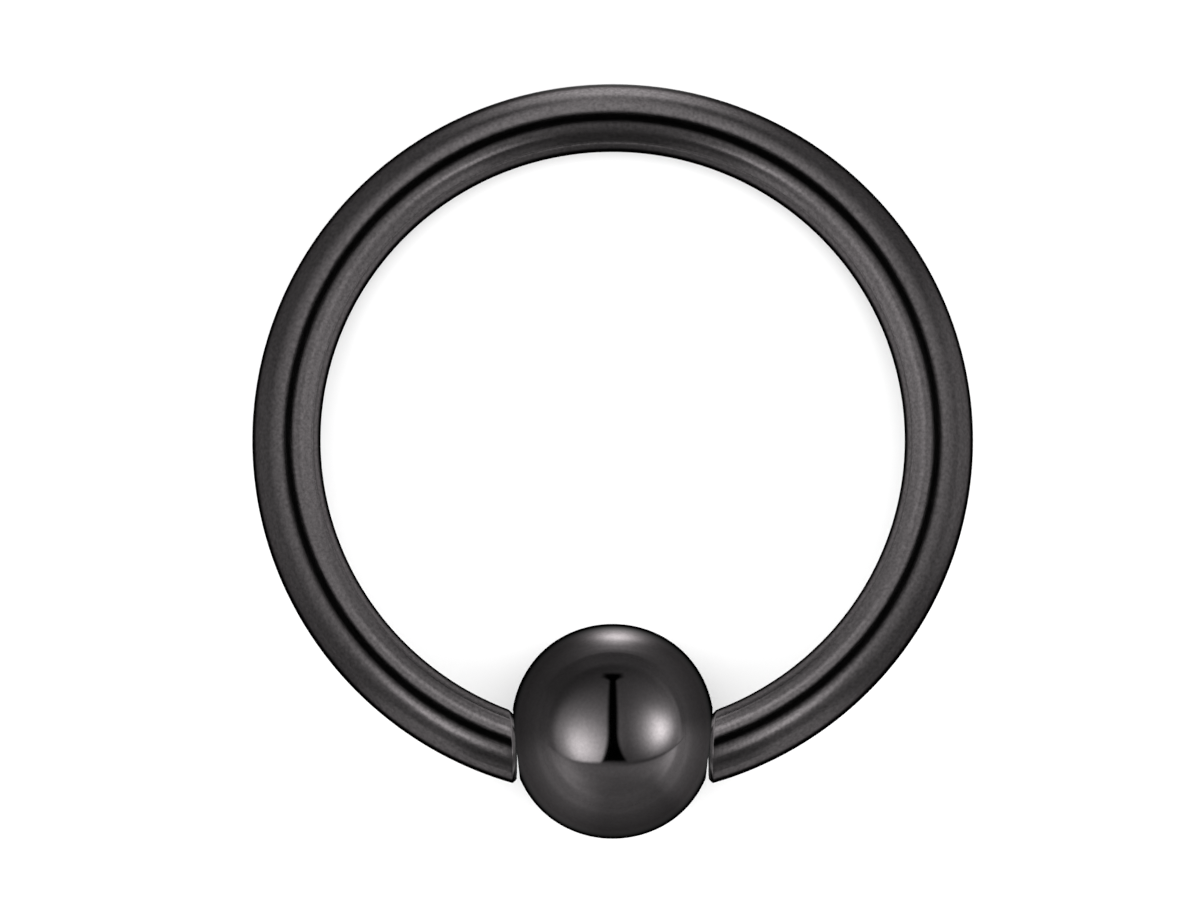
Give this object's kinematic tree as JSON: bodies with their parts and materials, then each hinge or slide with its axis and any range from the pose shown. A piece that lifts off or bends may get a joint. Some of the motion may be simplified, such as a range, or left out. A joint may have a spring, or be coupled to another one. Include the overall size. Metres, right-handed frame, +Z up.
{
  "type": "captive bead ring",
  "caption": "Captive bead ring for a piercing: an open ring of round black steel wire whose ends hold a polished bead by its dimples.",
  "frame": {"origin": "centre of the bounding box on the surface that the ring lies on", "axes": "+Z up from that surface, +Y from the bead to the far side of the wire, +X along the line through the bead's dimples"},
  "size_m": [0.0168, 0.0178, 0.005],
  "materials": {
    "wire_steel": "black coated steel wire, polished along its length, with faint draw lines and worn edges at its ends",
    "bead_steel": "black coated steel, polished to a mirror, with fine wear round its dimples"
  },
  "bodies": {
    "ring": {"ring_wire": "wire_steel"},
    "bead": {"bead": "bead_steel"}
  },
  "joints": [
    {"name": "bead_spin", "type": "hinge", "parent": "ring", "child": "bead", "pos_m": [0, -0.00678, 0.00255], "axis": [1, 0, 0], "continuous": true}
  ]
}
